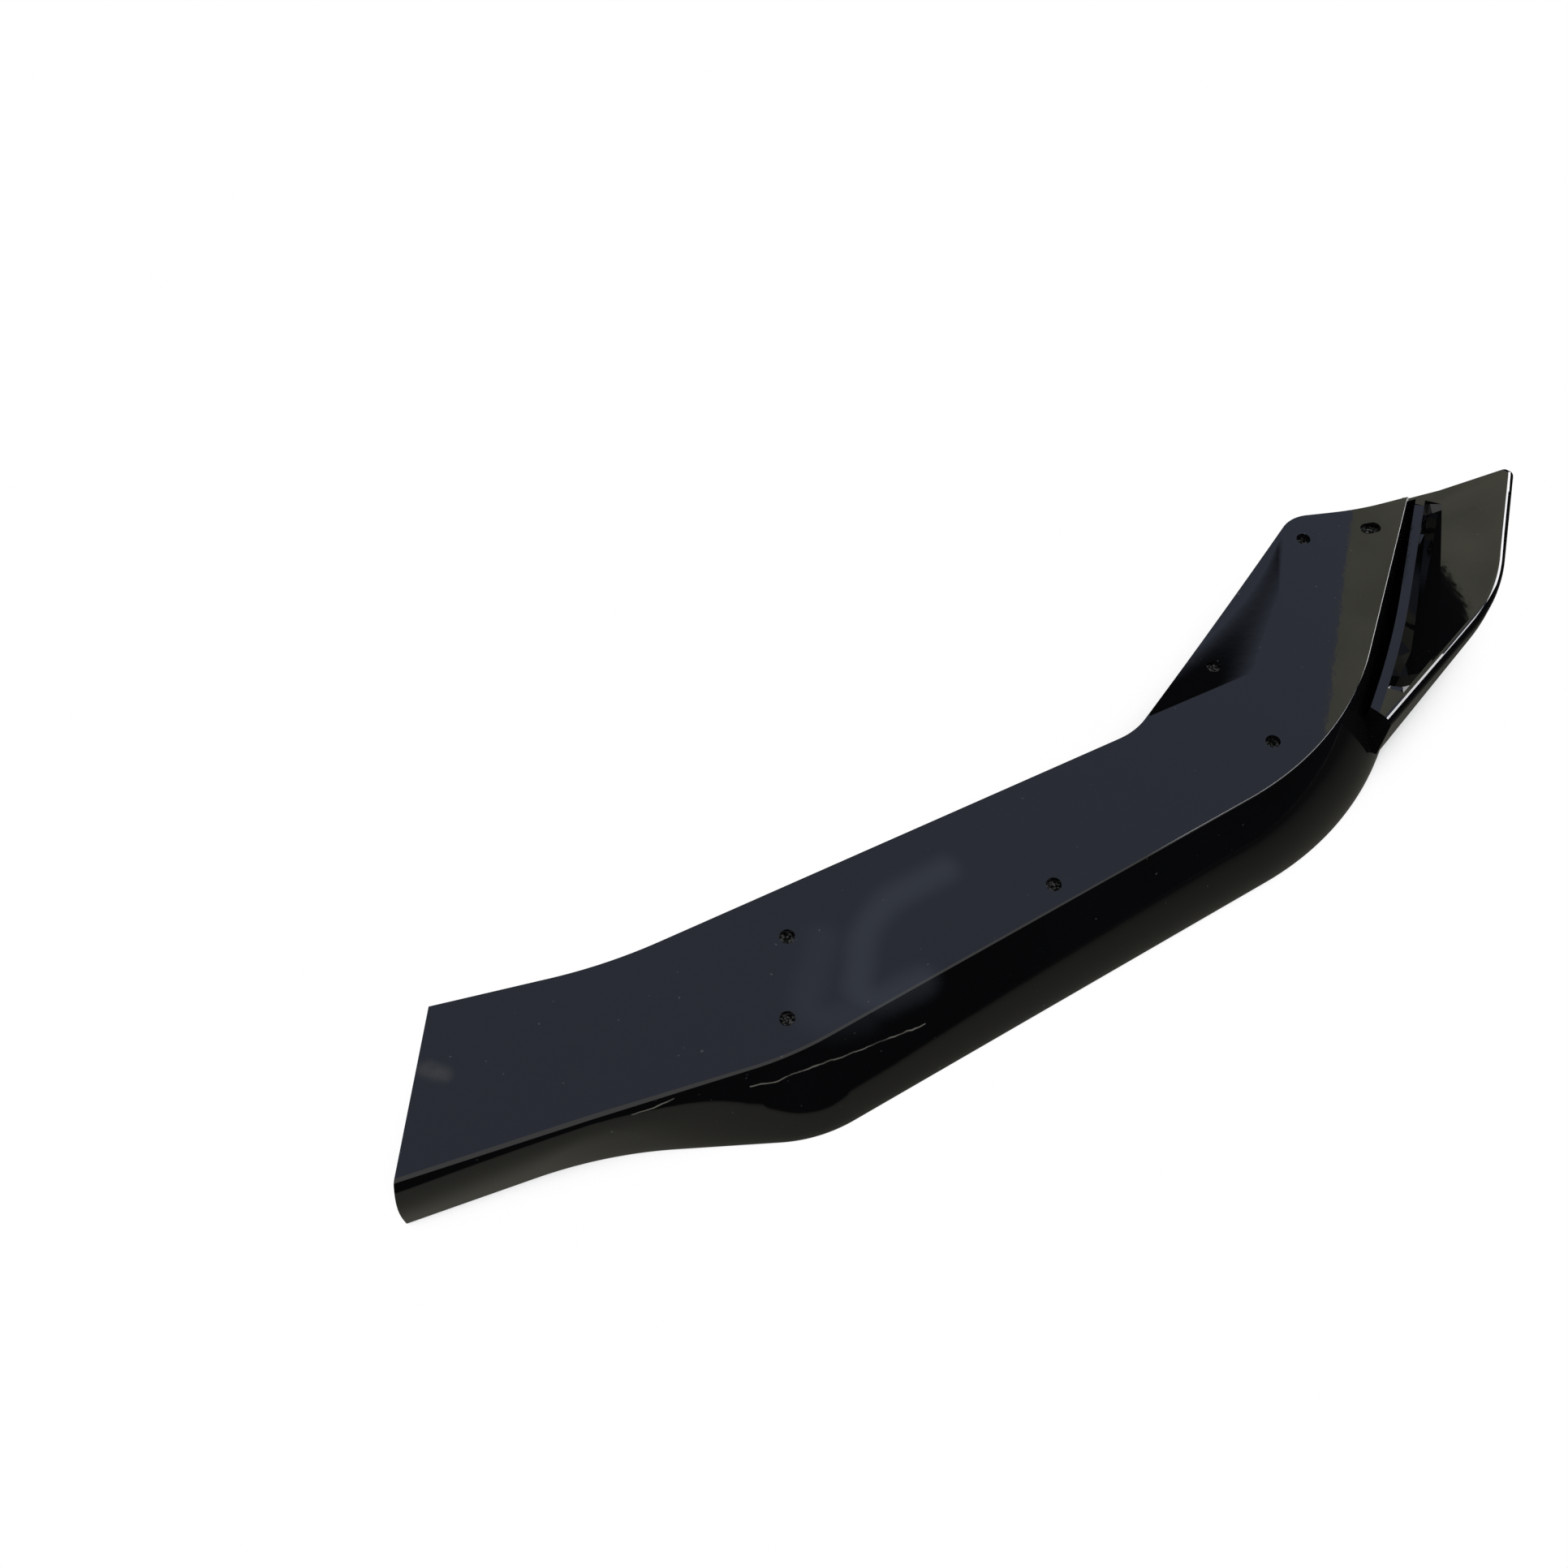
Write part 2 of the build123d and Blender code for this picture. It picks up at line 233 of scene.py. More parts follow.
def break_edges(body: Body, width: float, angle: float) -> None:
    """Rounds the edges that are sharper than an angle, in degrees."""
    limit = {"limit_method": "ANGLE", "angle_limit": math.radians(angle), "use_clamp_overlap": True}
    modify(body, "BEVEL", {"width": width, "segments": 3, **limit})


def mark_sharp(form: Form, angle: float, area: float = 0.0) -> None:
    """Marks edges over an angle in degrees as sharp, beside faces from an area in square metres."""
    for edge in form.edges:
        large = any(face.calc_area() >= area for face in edge.link_faces)
        if large and edge.is_manifold and edge.calc_face_angle() > math.radians(angle):
            edge.smooth = False


def keep_flat(body: Body, area: float, angle: float) -> None:
    """Marks the edges of a body's large flat faces as sharp, so that their reflections stay even."""
    form = bmesh.new()
    form.from_mesh(body.data)
    mark_sharp(form, angle, area)
    form.to_mesh(body.data)
    form.free()


def rod(form: Form, diameter: float, depth: float, place: Vector) -> list[bmesh.types.BMVert]:
    """Adds an upright rod round a point, as a tool for a hole, and returns its vertices."""
    made = bmesh.ops.create_cone(
        form,
        cap_ends=True,
        segments=48,
        radius1=diameter / 2,
        radius2=diameter / 2,
        depth=depth,
        matrix=Matrix.Translation(place),
    )
    return made["verts"]


@dataclass(frozen=True)
class Station:
    """One corner of the lip's crease, with the section of the lip there."""

    corner: Vector
    outward: Vector
    reach: float
    height: float
    face_angle: float
    crease_radius: float
    lower_radius: float
    edge_round: float
    least_power: float = 1.05

    def section(self, step: int, round_steps: int, face_steps: int) -> Pair:
        """Overhang and drop at one step down the section: first the rounded crease, then the face.

        Args:
            step: The step, from 0 on the plate to the last at the lower edge.
            round_steps: How many steps the rounded crease takes.
            face_steps: How many steps the face takes.

        Returns:
            Distance outward of the crease, and distance below the plate.
        """
        slope = math.radians(self.face_angle)
        tangent = self.edge_round * math.tan(slope / 2)
        if step <= round_steps:
            bend = slope * step / round_steps
            return self.edge_round * math.sin(bend) - tangent, self.edge_round * (1 - math.cos(bend))
        start = tangent * math.sin(slope) / self.height
        fraction = mix(start, 1.0, (step - round_steps) / face_steps)
        power = max(self.least_power, self.height / (self.reach * math.tan(slope)))
        return self.reach * (1 - (1 - fraction) ** power), fraction * self.height


@dataclass
class LipShell:
    """The plate and the lip's face: one even wall that bends round the bumper's corner."""

    wall: float = 3.0 * MM
    inner_height: float = 28.0 * MM
    rear_height: float = 50.0 * MM
    runs: Numbers = mm(83.5, 87.6, 300.0, 163.0)
    sweeps: Numbers = (18.2, 17.2, 30.0, 68.4)
    reaches: Numbers = mm(8.8, 5.0, 26.5, 23.0, 26.0)
    face_angles: Numbers = (45.0, 45.0, 45.0, 45.0, 58.0)
    crease_radii: Numbers = mm(0.0, 300.0, 168.0, 163.0, 0.0)
    lower_radii: Numbers = mm(0.0, 214.0, 72.0, 179.0, 0.0)
    edge_rounds: Numbers = mm(4.0, 4.0, 2.4, 1.0, 0.8)
    inner_width: float = 77.5 * MM
    inner_cut: float = 86.4
    neck_width: float = 70.0 * MM
    neck_cut: float = 87.9
    corner_width: float = 97.0 * MM
    corner_cut: float = 174.0
    rear_width: float = 63.0 * MM
    rear_cut: float = 190.3
    rear_edge_sweep: float = 16.0
    rear_edge_break: float = 28.0 * MM
    back_radii: Numbers = mm(150.0, 18.0, 36.0, 240.0, 1.5)
    dish_depth: float = 2.3 * MM
    dish_apex_along: float = 77.0 * MM
    dish_apex_in: float = 38.0 * MM
    dish_steps: int = 24
    hole_diameter: float = 7.0 * MM
    slot_width: float = 7.0 * MM
    slot_length: float = 10.5 * MM
    slot_heading: float = 10.0
    slot_ahead: float = 27.5 * MM
    slot_in: float = 14.0 * MM
    neck_holes_in: Numbers = mm(17.0, 56.0)
    neck_hole_shift: float = 2.0 * MM
    front_hole: Numbers = mm(141.0, 10.0)
    corner_hole: Numbers = mm(-28.0, 19.0)
    edge_holes_along: Numbers = mm(55.0, 151.0)
    edge_holes_in: float = 12.0 * MM
    edge_break: float = 0.35 * MM
    break_angle: float = 50.0
    round_steps: int = 5
    face_steps: int = 22
    arc_steps: int = 26
    run_steps: int = 10
    back_arc_steps: int = 12

    def __post_init__(self) -> None:
        """Works out the crease, the plate's back corners and the stations."""
        self.crease = [Vector((0.0, 0.0, 0.0))]
        for run, sweep in zip(self.runs, self.sweeps):
            self.crease.append(offset_from(self.crease[-1], sweep, run))
        self.rear_end = self.crease[-1]
        self.slope = (self.rear_height - self.inner_height) / self.rear_end.x
        self.inner_corner = offset_from(self.crease[3], self.corner_cut, self.corner_width)
        self.rear_corner = offset_from(self.rear_end, self.rear_cut, self.rear_width)
        self.stations = [self.station(index) for index in range(len(self.crease))]

    def station(self, index: int) -> Station:
        """The lip's section at one corner of the crease."""
        if index == 0:
            outward = heading(self.inner_cut + 180)
        elif index == len(self.crease) - 1:
            outward = heading(self.rear_edge_sweep)
        else:
            before, after = self.sweeps[index - 1], self.sweeps[index]
            outward = heading((before + after) / 2 - 90) / math.cos(math.radians((after - before) / 2))
        return Station(
            corner=self.crease[index],
            outward=outward,
            reach=self.reaches[index],
            height=self.inner_height + self.slope * self.crease[index].x,
            face_angle=self.face_angles[index],
            crease_radius=self.crease_radii[index],
            lower_radius=self.lower_radii[index],
            edge_round=self.edge_rounds[index],
        )

    def front_line(self, step: int, inset: float = 0.0) -> list[Vector]:
        """The lip's face at one step down its section, from the inner end to the wheel arch.

        Args:
            step: The step down the section.
            inset: How far the line lies inside the face.

        Returns:
            The line's points.
        """
        sections = [station.section(step, self.round_steps, self.face_steps) for station in self.stations]
        corners, radii = [], []
        for station, (overhang, _) in zip(self.stations, sections):
            corners.append(station.corner + station.outward * (overhang - inset))
            bulge = max(0.0, overhang / station.reach)
            radii.append(mix(station.crease_radius, station.lower_radius, bulge))
        line = []
        for point in rounded_line(corners, radii[1:-1], self.arc_steps, self.run_steps):
            before = min(int(point.corner), len(sections) - 2)
            drop = mix(sections[before][1], sections[before + 1][1], point.corner - before)
            line.append(point.place - up(drop))
        return line

    def back_corners(self) -> list[Vector]:
        """Back corners of the plate, from the wheel arch to the inner end."""
        return [
            offset_from(self.rear_end, self.rear_edge_sweep, -self.rear_edge_break),
            self.rear_corner,
            self.inner_corner,
            offset_from(self.crease[1], self.neck_cut, self.neck_width),
            offset_from(self.crease[0], self.inner_cut, self.inner_width),
        ]

    def inner_edge_point(self, along: float, inward: float) -> Vector:
        """Plan point measured along the plate's inner edge from its front corner, and in from it."""
        edge = self.rear_corner - self.inner_corner
        angle = math.degrees(math.atan2(edge.y, edge.x))
        return offset_from(self.inner_corner, angle, along, -inward)

    def skin(self) -> Body:
        """Builds the outer skin: the face bridged line by line, and the plate filled behind it."""
        form = bmesh.new()
        last = self.round_steps + self.face_steps
        lines = [chain(form, self.front_line(step)) for step in range(last + 1)]
        loft(form, lines)
        front_first, front_last = lines[0][0].verts[0], lines[0][-1].verts[1]
        corners = [front_last.co, *self.back_corners(), front_first.co]
        back = rounded_line(corners, self.back_radii, self.back_arc_steps, 1)
        verts = [front_last, *[form.verts.new(point.place) for point in back[1:-1]], front_first]
        edges = [form.edges.new(pair) for pair in zip(verts, verts[1:])]
        plate = bmesh.ops.contextual_create(form, geom=lines[0] + edges)["faces"][0]
        inner_edge_middle = 2.5
        end = max(index for index, point in enumerate(back) if point.corner < inner_edge_middle)
        self.press_dish(form, plate, verts[end + 1], verts[end])
        bmesh.ops.recalc_face_normals(form, faces=form.faces[:])
        if plate.normal.z < 0:
            bmesh.ops.reverse_faces(form, faces=form.faces[:])
        return mesh_object("lip_skin", form)

    def press_dish(
        self,
        form: Form,
        plate: bmesh.types.BMFace,
        start: bmesh.types.BMVert,
        end: bmesh.types.BMVert,
    ) -> None:
        """Splits a triangle off the plate along its inner edge and presses it down towards that edge.

        Args:
            form: The skin's mesh.
            plate: The plate's face.
            start: The inner edge's front end.
            end: The inner edge's rear end.
        """
        fold_start, dish_end = start.co.copy(), end.co.copy()
        apex = self.inner_edge_point(self.dish_apex_along, self.dish_apex_in)
        split, _ = bmesh.utils.face_split(plate, start, end, coords=[apex])
        dish = split if len(split.verts) == 3 else plate
        for edge in dish.edges:
            if start in edge.verts and end not in edge.verts:
                edge.smooth = False
        bmesh.ops.subdivide_edges(form, edges=dish.edges[:], cuts=self.dish_steps, use_grid_fill=True)
        across, along = apex - fold_start, dish_end - fold_start
        area = across.cross(along).z
        level_slack, edge_slack = 1e-7, 1e-4
        for vert in form.verts:
            if abs(vert.co.z) > level_slack:
                continue
            offset = vert.co - fold_start
            to_apex = offset.cross(along).z / area
            to_end = across.cross(offset).z / area
            if min(to_apex, to_end, 1 - to_apex - to_end) < -edge_slack or to_end > 1 - edge_slack:
                continue
            inward = max(0.0, 1 - to_apex - to_end) / (1 - to_end)
            vert.co.z -= self.dish_depth * 4 * to_end * (1 - to_end) * inward * (2 - inward)

    def hole_places(self) -> list[Vector]:
        """Plan points of the round screw holes, from the inner end to the wheel arch."""
        shoulder, corner = self.crease[2], self.crease[3]
        return [
            *[offset_from(shoulder, 90, inward, self.neck_hole_shift) for inward in self.neck_holes_in],
            offset_from(shoulder, self.sweeps[2], *self.front_hole),
            offset_from(corner, self.sweeps[2], *self.corner_hole),
            *[self.inner_edge_point(along, self.edge_holes_in) for along in self.edge_holes_along],
        ]

    def slot_place(self) -> Vector:
        """Plan point of the slot's middle, beside the wheel arch."""
        return offset_from(self.rear_end, self.sweeps[-1], -self.slot_ahead, self.slot_in)

    def hole_cutters(self) -> Body:
        """One tool body with a rod through every hole and a bar through the slot."""
        form = bmesh.new()
        depth = 6 * self.wall
        for place in self.hole_places():
            rod(form, self.hole_diameter, depth, place)
        half = (self.slot_length - self.slot_width) / 2
        bar = rod(form, self.slot_width, depth, Vector())
        for vert in bar:
            vert.co.x += math.copysign(half, vert.co.x)
        turn = Matrix.Rotation(math.radians(self.slot_heading), 4, "Z")
        bmesh.ops.transform(form, matrix=Matrix.Translation(self.slot_place()) @ turn, verts=bar)
        return mesh_object("hole_cutters", form)

    def build(self) -> Body:
        """The finished shell in the plate's frame."""
        shell = self.skin()
        give_wall(shell, self.wall)
        everywhere, reach, floor_reach = Vector(), self.wall / 2, self.wall * 0.3
        flatten(shell, self.crease[0], heading(self.inner_cut + 90), reach, everywhere)
        rear_outboard = heading(self.rear_edge_sweep)
        flatten(shell, self.rear_end, heading(self.rear_edge_sweep + 90), reach, rear_outboard)
        floor_normal = Vector((self.slope, 0.0, 1.0)).normalized()
        flatten(shell, up(-self.inner_height), floor_normal, floor_reach, everywhere)
        cut_away(shell, self.hole_cutters())
        break_edges(shell, self.edge_break, self.break_angle)
        return shell

    def core(self, inset: float) -> Body:
        """Solid body that fills the lip to a little inside its face, from the plate to the floor."""
        loops = []
        for step in range(self.round_steps + self.face_steps + 1):
            front = self.front_line(step, inset)
            loops.append([*front, *[corner + up(front[0].z) for corner in self.back_corners()]])
        return closed_body("lip_core", loops)


@dataclass
class Winglet:
    """The small fin outboard of the side run: groove, ridge, recess and blade with a rounded rim."""

    lip: LipShell
    wall: float = 2.2 * MM
    blade_drop: float = 1.5 * MM
    groove: Numbers = mm(4.3, 9.5, 6.6)
    groove_ahead: Numbers = mm(0.0, 94.0, 137.0)
    groove_blend: float = 32.0 * MM
    groove_end_wall: float = 2.0 * MM
    bow: Pair = mm(142.5, 17.8)
    shoulder: Pair = mm(47.0, 55.0)
    shoulder_radius: float = 110.0 * MM
    tip: Pair = mm(-38.5, 49.2)
    tip_chamfer: Pair = mm(-39.5, 46.0)
    tip_radius: float = 3.0 * MM
    rear_bend_span: float = 14.5 * MM
    root_depth: float = 38.5 * MM
    rim_depth: float = 10.0 * MM
    rim_round: float = 4.5 * MM
    ridge_width: float = 4.6 * MM
    ridge_fall: float = 0.45 * MM
    recess_depth: float = 6.0 * MM
    recess_rear_behind: float = 2.0 * MM
    recess_rear_width: float = 8.5 * MM
    recess_shoulder: Pair = mm(93.0, 31.0)
    recess_front_ahead: float = 123.5 * MM
    recess_front_width: float = 7.5 * MM
    recess_rear_taper: float = 4.0 * MM
    recess_front_taper: float = 5.0 * MM
    recess_end_share: float = 0.3
    valley_share: float = 0.36
    sunk_in: float = 1.0 * MM
    core_inset: float = 0.4 * MM
    tool_height: float = 5.0 * MM
    rim_steps: int = 7
    groove_points: int = 20
    edge_break: float = 0.6 * MM
    break_angle: float = 18.0
    flat_area: float = 14.0 * MM * MM
    flat_angle: float = 4.0

    def place(self, ahead: float, span: float) -> Vector:
        """Plan point by its distance ahead of the rear end and outboard of the crease."""
        return offset_from(self.lip.rear_end, self.lip.sweeps[-1], -ahead, -span)

    def rear_edge_place(self, span: float, ahead: float) -> Vector:
        """Plan point at this span, so far ahead of the straight rear edge."""
        slope = math.tan(math.radians(self.lip.sweeps[-1] - self.lip.rear_edge_sweep))
        return self.place(ahead - span / slope, span)

    def span_of(self, place: Vector) -> float:
        """Distance of a plan point outboard of the side run of the crease."""
        return (place - self.lip.rear_end).dot(heading(self.lip.sweeps[-1] - 90))

    def groove_span(self, ahead: float) -> float:
        """Distance from the crease to the ridge's groove side."""
        rear, middle, nose = self.groove
        bend, end = self.groove_ahead[1], self.groove_ahead[2]
        rear_slope, nose_slope = (middle - rear) / bend, (nose - middle) / (end - bend)
        into = ahead - bend + self.groove_blend
        if into <= 0:
            return rear + rear_slope * ahead
        if into >= 2 * self.groove_blend:
            return middle + nose_slope * (ahead - bend)
        return rear + rear_slope * ahead + (nose_slope - rear_slope) * into * into / (4 * self.groove_blend)

    def groove_steps(self) -> list[float]:
        """Distances ahead of the rear end of the points on the ridge's curved side, from the nose back."""
        return steps_to(self.groove_ahead[2], 2 * self.groove_end_wall, self.groove_points)

    def outline(self, rim_inset: float, drop: float) -> list[Vector]:
        """Plan outline with its rim set in by a distance and lowered by a drop.

        Args:
            rim_inset: How far the leading edge and the tip chord lie inside the full outline.
            drop: How far the outline lies below the plate.

        Returns:
            The outline's points, from the ridge's rear end round the tip and the bow.
        """
        corners = [
            self.rear_edge_place(-self.sunk_in, 0.0),
            self.rear_edge_place(self.rear_bend_span, 0.0),
            *[self.place(*corner) for corner in (self.tip_chamfer, self.tip, self.shoulder, self.bow)],
            *[self.place(ahead, self.groove_span(ahead)) for ahead in self.groove_steps()],
            self.rear_edge_place(self.groove[0], self.groove_end_wall),
            self.rear_edge_place(-self.sunk_in, self.groove_end_wall),
        ]
        plain = [0.0] * (len(corners) - 5)
        moved = inset_corners(corners, [0.0, 0.0, rim_inset, rim_inset, rim_inset, *plain])
        least_round = 0.3 * MM
        tip_round = max(least_round, self.tip_radius - rim_inset)
        radii = [0.0, 0.0, tip_round, self.shoulder_radius - rim_inset, *plain]
        line = rounded_line([*moved, moved[0]], radii, arc_steps=16, run_steps=2)
        return [point.place - up(drop) for point in line[:-1]]

    def body(self) -> Body:
        """Solid winglet: flat top, rounded rim, upright skirt and a sloping underside."""
        loops = []
        full, probe_inset = self.outline(0.0, self.blade_drop), 0.1 * MM
        for step in range(self.rim_steps + 1):
            bend = math.pi / 2 * step / self.rim_steps
            inset, drop = self.rim_round * (1 - math.sin(bend)), self.rim_round * (1 - math.cos(bend))
            top = self.outline(inset, self.blade_drop)
            probe = inset if step < self.rim_steps else probe_inset
            loop = []
            for point, outer, probed in zip(top, full, self.outline(probe, self.blade_drop)):
                rim_share = min(1.0, (probed - outer).length / probe)
                loop.append(point - up(drop * rim_share))
            loops.append(loop)
        slope = (self.root_depth - self.rim_depth) / self.shoulder[1]
        skirt = []
        for point in loops[-1]:
            depth = self.root_depth - slope * self.span_of(point)
            skirt.append(Vector((point.x, point.y, -depth)))
        return closed_body("winglet", [*loops, skirt])

    def recess_cutter(self) -> Body:
        """Boat-shaped tool for the V-shaped recess, narrow at both ends."""
        loops = []
        rear, front = -self.recess_rear_behind, self.recess_front_ahead
        shoulder, shoulder_span = self.recess_shoulder
        full_rear, full_front = rear + self.recess_rear_taper, front - self.recess_front_taper
        stations = [rear, *steps_to(full_rear, shoulder, 8), *steps_to(shoulder, full_front, 3)[1:], front]
        rear_right = self.groove_span(rear) + self.ridge_width + self.recess_rear_width
        front_right = self.groove_span(front) + self.ridge_width + self.recess_front_width
        top, foot = up(self.tool_height), up(-self.blade_drop)
        for ahead in stations:
            left = self.groove_span(ahead) + self.ridge_width
            if ahead < shoulder:
                right = mix(rear_right, shoulder_span, (ahead - rear) / (shoulder - rear))
            else:
                right = mix(shoulder_span, front_right, (ahead - shoulder) / (front - shoulder))
            share = self.recess_end_share if ahead in (rear, front) else 1.0
            valley = self.place(ahead, mix(left, right, self.valley_share))
            valley -= up(self.blade_drop + self.recess_depth * share)
            first, last = self.place(ahead, left), self.place(ahead, right)
            loops.append([first + top, first + foot, valley, last + foot, last + top])
        return closed_body("recess_cutter", loops)

    def ridge_cutter(self) -> Body:
        """Wedge that makes the ridge's top fall a little towards the groove."""
        loops = []
        steps, spare, past_nose = 14, 3.0 * MM, 2.0 * MM
        rear, front = self.groove_end_wall, self.groove_ahead[2] + past_nose
        top = up(self.tool_height)
        fall = self.ridge_fall * (1 + spare / self.ridge_width)
        for ahead in steps_to(rear, front, steps):
            groove = self.groove_span(ahead)
            low = self.place(ahead, groove - spare) - up(self.blade_drop + fall)
            high = self.place(ahead, groove + self.ridge_width) - up(self.blade_drop)
            loops.append([low, high, high + top, low + top])
        return closed_body("ridge_cutter", loops)

    def open_up(self, body: Body) -> None:
        """Takes off the underside, the rear end and the faces inside the lip, which leaves the skin."""
        names = [material.name if material else "" for material in body.data.materials]
        form = bmesh.new()
        form.from_mesh(body.data)
        rear = self.place(0.0, 0.0)
        rear_normal = heading(self.lip.rear_edge_sweep + 90)
        rear_reach, rear_facing, down_facing = 2.5 * MM, 0.8, -0.3
        gone = []
        for face in form.faces:
            behind = (face.calc_center_median() - rear).dot(rear_normal) > -rear_reach
            inside = names[face.material_index].startswith("inside_lip")
            rear_end = behind and face.normal.dot(rear_normal) > rear_facing
            if inside or rear_end or face.normal.z < down_facing:
                gone.append(face)
        bmesh.ops.delete(form, geom=gone, context="FACES")
        form.to_mesh(body.data)
        form.free()
        body.data.materials.clear()

    def build(self) -> Body:
        """The finished winglet in the plate's frame, trimmed to the lip's face."""
        winglet = self.body()
        mark(winglet, "winglet_skin")
        for tool in (self.recess_cutter(), self.ridge_cutter()):
            mark(tool, "winglet_skin")
            cut_away(winglet, tool)
        core = self.lip.core(self.core_inset)
        mark(core, "inside_lip")
        cut_away(winglet, core)
        self.open_up(winglet)
        give_wall(winglet, self.wall, even=False)
        break_edges(winglet, self.edge_break, self.break_angle)
        keep_flat(winglet, self.flat_area, self.flat_angle)
        return winglet


def inset_corners(corners: Sequence[Vector], insets: Sequence[float]) -> list[Vector]:
    """Moves each side of a closed outline in by its own distance.

    Args:
        corners: The outline's corners, counter-clockwise in plan or not.
        insets: One distance for each side, from its corner to the next.

    Returns:
        The corners of the moved outline.
    """
    count, parallel = len(corners), 1e-6
    middle = sum(corners, Vector()) / count
    moved = []
    for index in range(count):
        if not insets[index - 1] and not insets[index]:
            moved.append(corners[index].copy())
            continue
        sides = []
        for start, end, inset in (
            (corners[index - 1], corners[index], insets[index - 1]),
            (corners[index], corners[(index + 1) % count], insets[index]),
        ):
            ahead = (end - start).normalized()
            normal = Vector((-ahead.y, ahead.x, 0.0))
            if normal.dot(middle - start) < 0:
                normal.negate()
            sides.append((start + normal * inset, ahead))
        (first, first_ahead), (second, second_ahead) = sides
        cross = first_ahead.x * second_ahead.y - first_ahead.y * second_ahead.x
        gap = second - first
        along = (gap.x * second_ahead.y - gap.y * second_ahead.x) / cross if abs(cross) > parallel else 0.0
        moved.append(first + first_ahead * along)
    return moved


@dataclass
class CornerLip:
    """The whole moulding: shell and winglet as one piece, laid on its lower edge."""

    lip: LipShell = field(default_factory=LipShell)
    smooth_angle: float = 30.0
    laid: Matrix = field(default_factory=lambda: Matrix.Identity(4))

    def hole_places(self) -> list[Vector]:
        """Places of the screw holes and the slot on the laid moulding."""
        return [self.laid @ place for place in (*self.lip.hole_places(), self.lip.slot_place())]

    def build(self) -> Body:
        """Joins the shell and the winglet, lays them down and fits them to the CAD box."""
        shell, winglet = self.lip.build(), Winglet(self.lip).build()
        form = bmesh.new()
        for part in (shell, winglet):
            form.from_mesh(part.data)
            bpy.data.objects.remove(part)
        turn = Matrix.Rotation(-math.atan(self.lip.slope), 4, "Y")
        bmesh.ops.transform(form, matrix=turn, verts=form.verts[:])
        low = Vector([min(vert.co[axis] for vert in form.verts) for axis in range(3)])
        high = Vector([max(vert.co[axis] for vert in form.verts) for axis in range(3)])
        own, wanted = high - low, cad_high - cad_low
        fit = Vector([min(1.0, wanted[axis] / own[axis]) for axis in range(3)])
        middle = (cad_low + cad_high) / 2
        middle.z = cad_low.z + own.z * fit.z / 2
        centred = Matrix.Diagonal((*fit, 1.0)) @ Matrix.Translation(-(low + high) / 2)
        fitted = Matrix.Translation(middle) @ centred
        bmesh.ops.transform(form, matrix=fitted, verts=form.verts[:])
        self.laid = fitted @ turn
        for face in form.faces:
            face.smooth = True
        mark_sharp(form, self.smooth_angle)
        piece = mesh_object("lip_moulding", form)
        modify(piece, "WEIGHTED_NORMAL", {"mode": "FACE_AREA", "weight": 50, "keep_sharp": True})
        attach(piece, "root")
        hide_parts("corner_lip")
        return piece


class Maths(Enum):
    """Math node operations that shader expressions use."""

    ADD = "ADD"
    SUBTRACT = "SUBTRACT"
    MULTIPLY = "MULTIPLY"
    MAXIMUM = "MAXIMUM"
    MINIMUM = "MINIMUM"


def operator(operation: Maths, swapped: bool = False) -> Callable[["Value", object], "Value"]:
    """Makes a method that adds one Math node, with the value as its second input if swapped."""

    def apply(value: "Value", other: object) -> "Value":
        """Result of the operation on a value and another one."""
        first, second = (other, value) if swapped else (value, other)
        return value.shader.node("Math", {"operation": operation.value}, {0: first, 1: second})

    return apply


class Value:
    """A shader socket that takes part in Python expressions."""

    __add__ = operator(Maths.ADD)
    __radd__ = operator(Maths.ADD, swapped=True)
    __rsub__ = operator(Maths.SUBTRACT, swapped=True)
    __mul__ = operator(Maths.MULTIPLY)
    maximum = operator(Maths.MAXIMUM)
    minimum = operator(Maths.MINIMUM)

    def __init__(self, shader: "Shader", socket: bpy.types.NodeSocket) -> None:
        """Keeps the socket and the shader that it belongs to."""
        self.shader = shader
        self.socket = socket

    def step(self, low: float, high: float) -> "Value":
        """Smooth step from 0 at low to 1 at high."""
        settings = {"interpolation_type": "SMOOTHSTEP", "clamp": True}
        return self.shader.node("MapRange", settings, {0: self, 1: low, 2: high, 3: 0.0, 4: 1.0})


